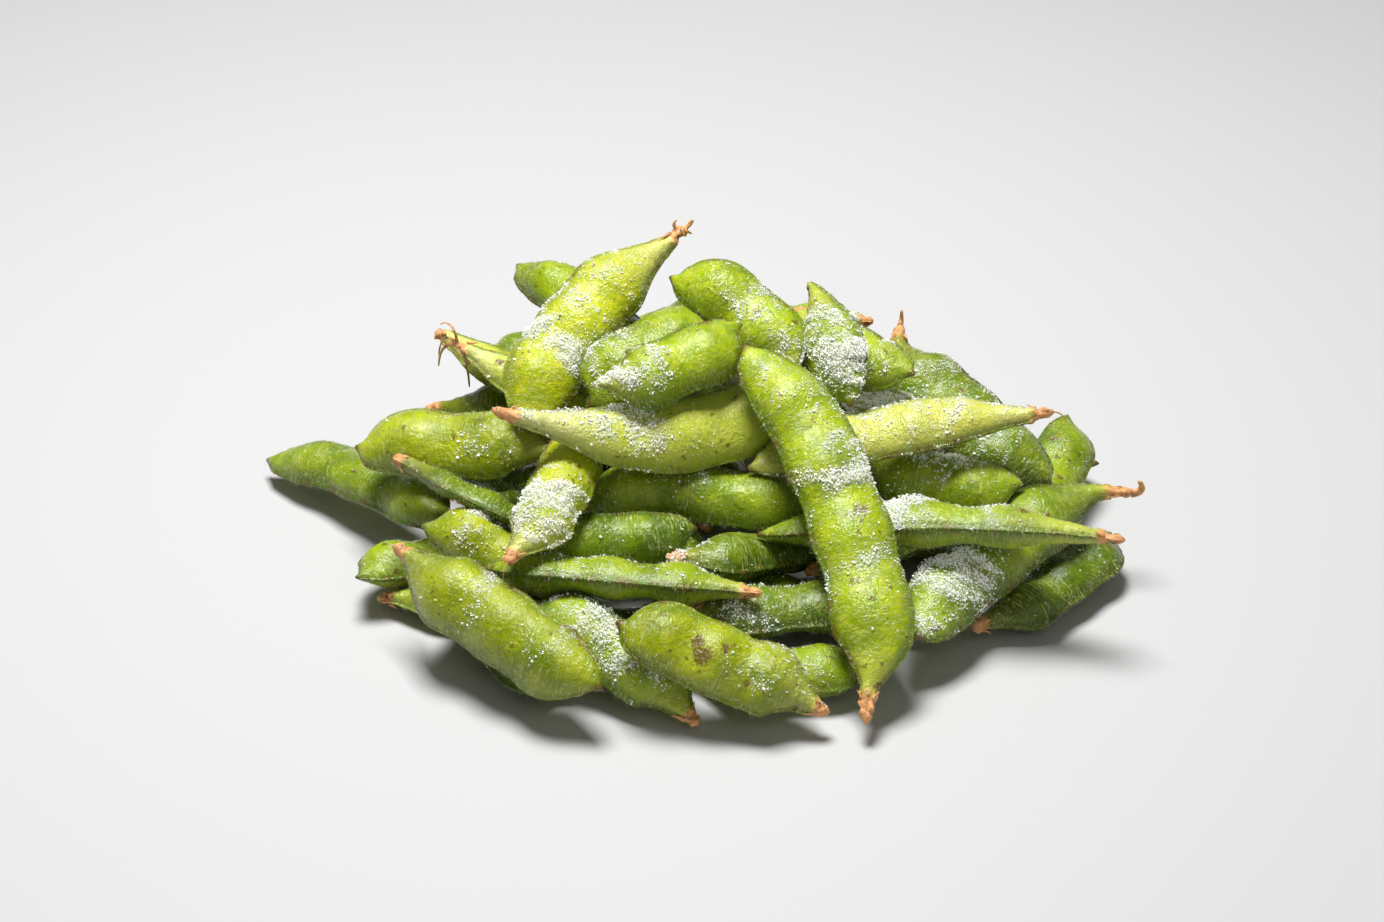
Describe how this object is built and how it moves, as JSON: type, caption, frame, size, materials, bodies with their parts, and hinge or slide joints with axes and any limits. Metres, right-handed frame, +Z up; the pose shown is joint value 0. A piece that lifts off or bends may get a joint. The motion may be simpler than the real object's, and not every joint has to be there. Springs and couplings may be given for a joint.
{
  "type": "edamame pod bundle",
  "caption": "Loose bunch of whole cooked edamame pods heaped on each other, with stem stubs, bean bulges and pointed tips, sprinkled with coarse salt.",
  "frame": {"origin": "under the middle of the bunch, on the surface it rests on", "axes": "+X to the right of the bunch along its length, +Y to its back, +Z up"},
  "size_m": [0.1654, 0.1248, 0.0522],
  "materials": {
    "fresh": "satin, slightly waxy, with fine hairs and salt",
    "yellow": "satin, slightly waxy, with fine hairs and salt",
    "dark": "satin, slightly waxy, with fine hairs and salt",
    "pale": "satin, slightly waxy, with fine hairs and salt"
  },
  "bodies": {
    "root": {"back_edge": "fresh", "back_right_edge": "fresh", "back_stub": "yellow", "back_thin": "fresh", "back_up": "fresh", "brown_tip": "dark", "crown": "yellow", "dark_stub": "dark", "far_left": "fresh", "front_between": "dark", "front_dark": "dark", "front_left": "yellow", "front_long": "fresh", "front_low": "fresh", "front_ridge": "fresh", "front_salted": "fresh", "front_shaded": "dark", "front_spotted": "yellow", "front_stub": "fresh", "green_round": "fresh", "hanging_salted": "yellow", "hooked_right": "fresh", "inner_back": "dark", "inner_back_left": "dark", "inner_far_right": "fresh", "inner_front": "dark", "inner_left": "dark", "inner_middle": "dark", "inner_right": "dark", "inner_top": "dark", "left_edge": "dark", "left_low": "fresh", "left_salted": "yellow", "long_neck": "dark", "mid_band": "fresh", "olive_back": "dark", "olive_right": "dark", "pale_stem": "pale", "pink_stem": "dark", "right_back_green": "fresh", "right_bean": "fresh", "right_edge": "dark", "right_long": "yellow", "right_low": "dark", "right_pale": "pale", "right_upright": "fresh", "salted_ridge": "fresh", "salted_scrap": "pale", "stub_high": "yellow", "stub_low": "pale", "top_right": "fresh", "two_bean": "yellow", "under_back": "fresh", "under_front": "dark", "under_left": "dark", "under_middle": "dark", "under_right": "dark", "upper_arched": "fresh", "upper_left": "fresh", "upper_tip": "fresh"}
  },
  "joints": []
}
